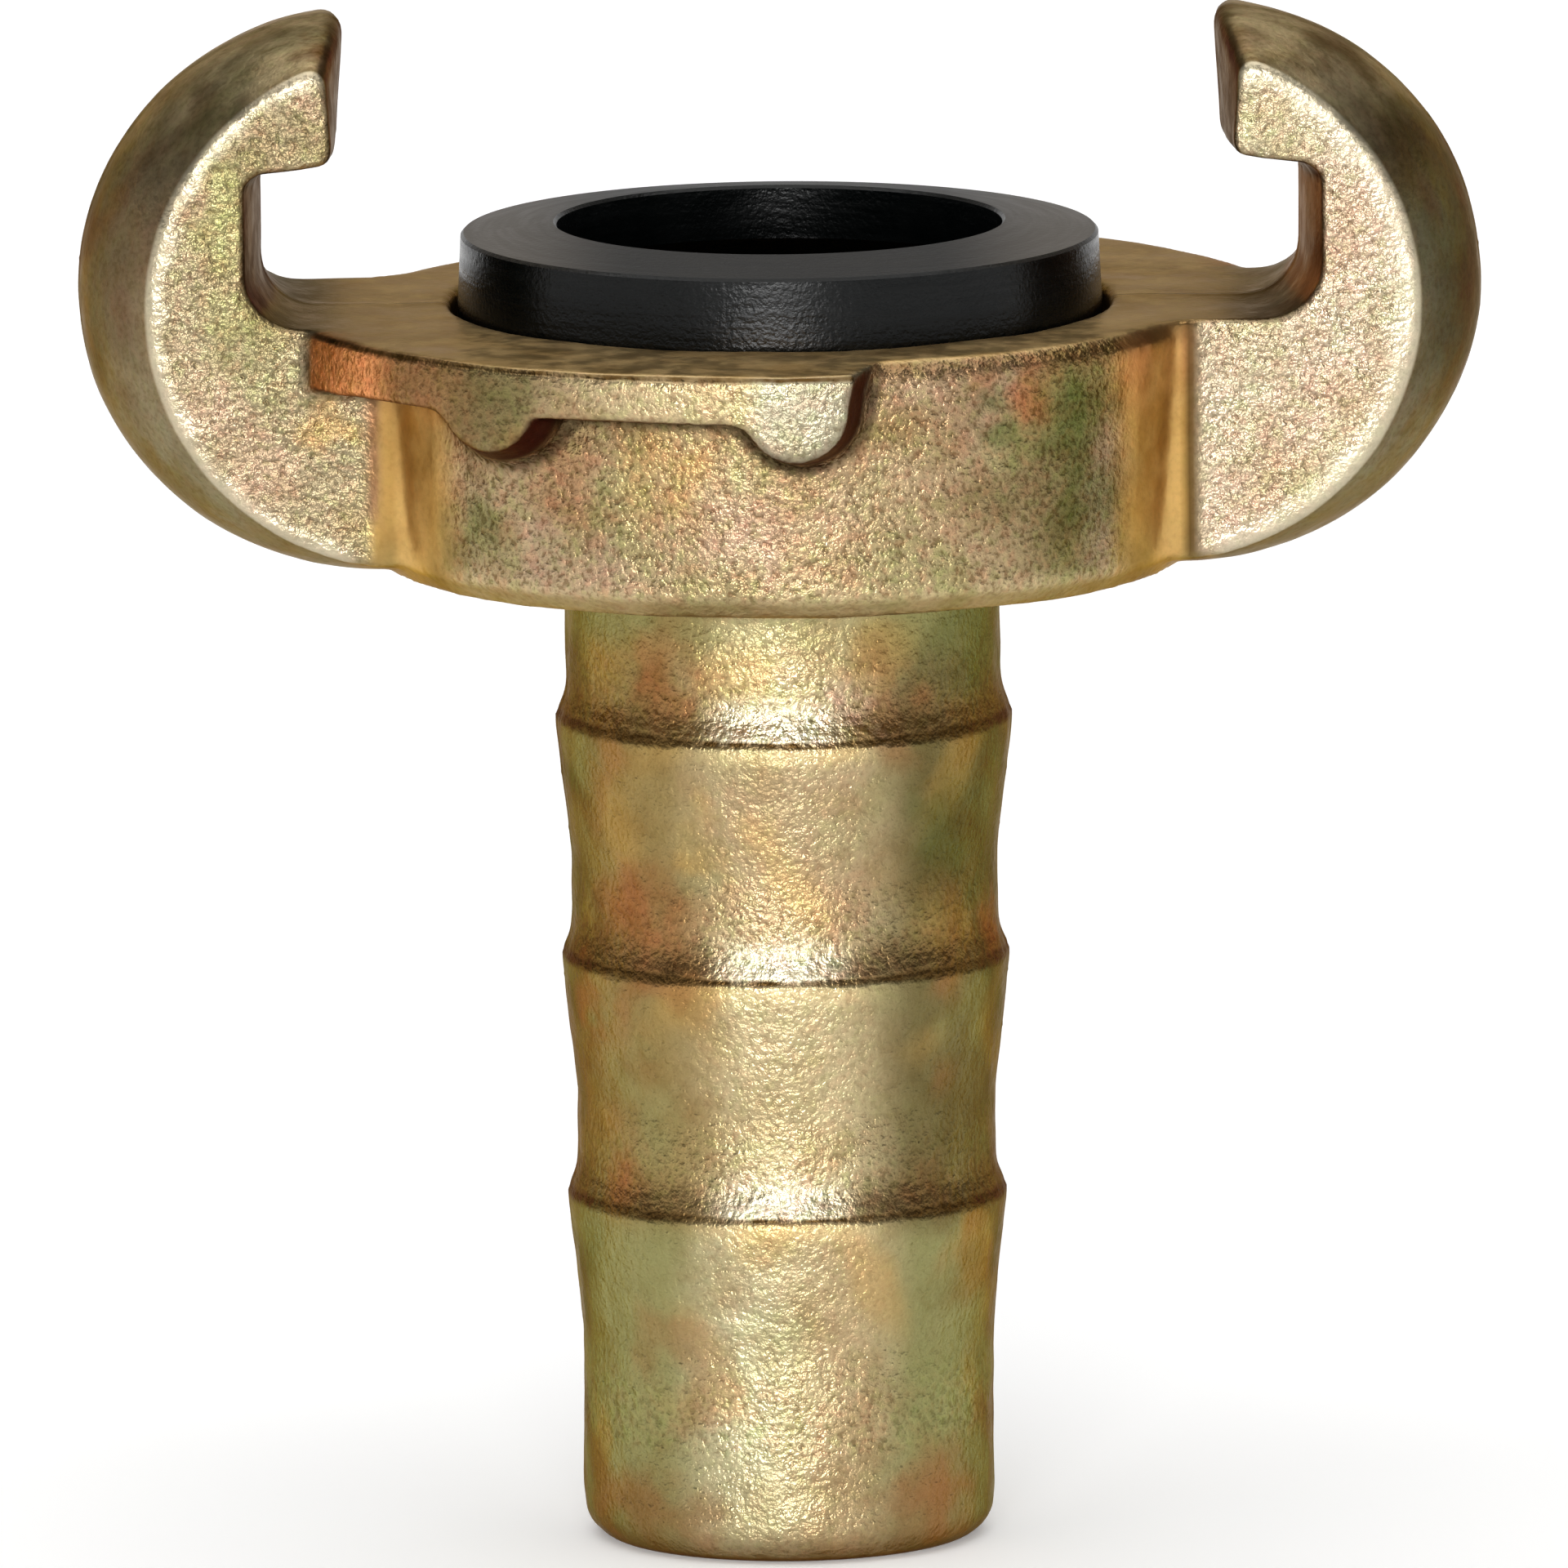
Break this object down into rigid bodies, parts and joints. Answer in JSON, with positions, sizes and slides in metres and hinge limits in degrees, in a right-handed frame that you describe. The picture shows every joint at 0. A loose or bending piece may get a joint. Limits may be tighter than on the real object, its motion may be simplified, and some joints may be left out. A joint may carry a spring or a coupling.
{
  "type": "claw coupling",
  "caption": "Cast claw coupling with hooked claws, cam ledges, a snap-in rubber face seal and a barbed hose tail.",
  "frame": {"origin": "centre of the hose tail's open end, at the bottom", "axes": "+Z along the bore towards the coupling face, X through the two claws"},
  "size_m": [0.068, 0.049, 0.0749],
  "materials": {
    "casting": "sand-cast surface, yellow chromated zinc plating",
    "seal": "smooth moulded black rubber"
  },
  "bodies": {
    "root": {"coupling_body": "casting", "seal_ring": "seal"}
  },
  "joints": []
}
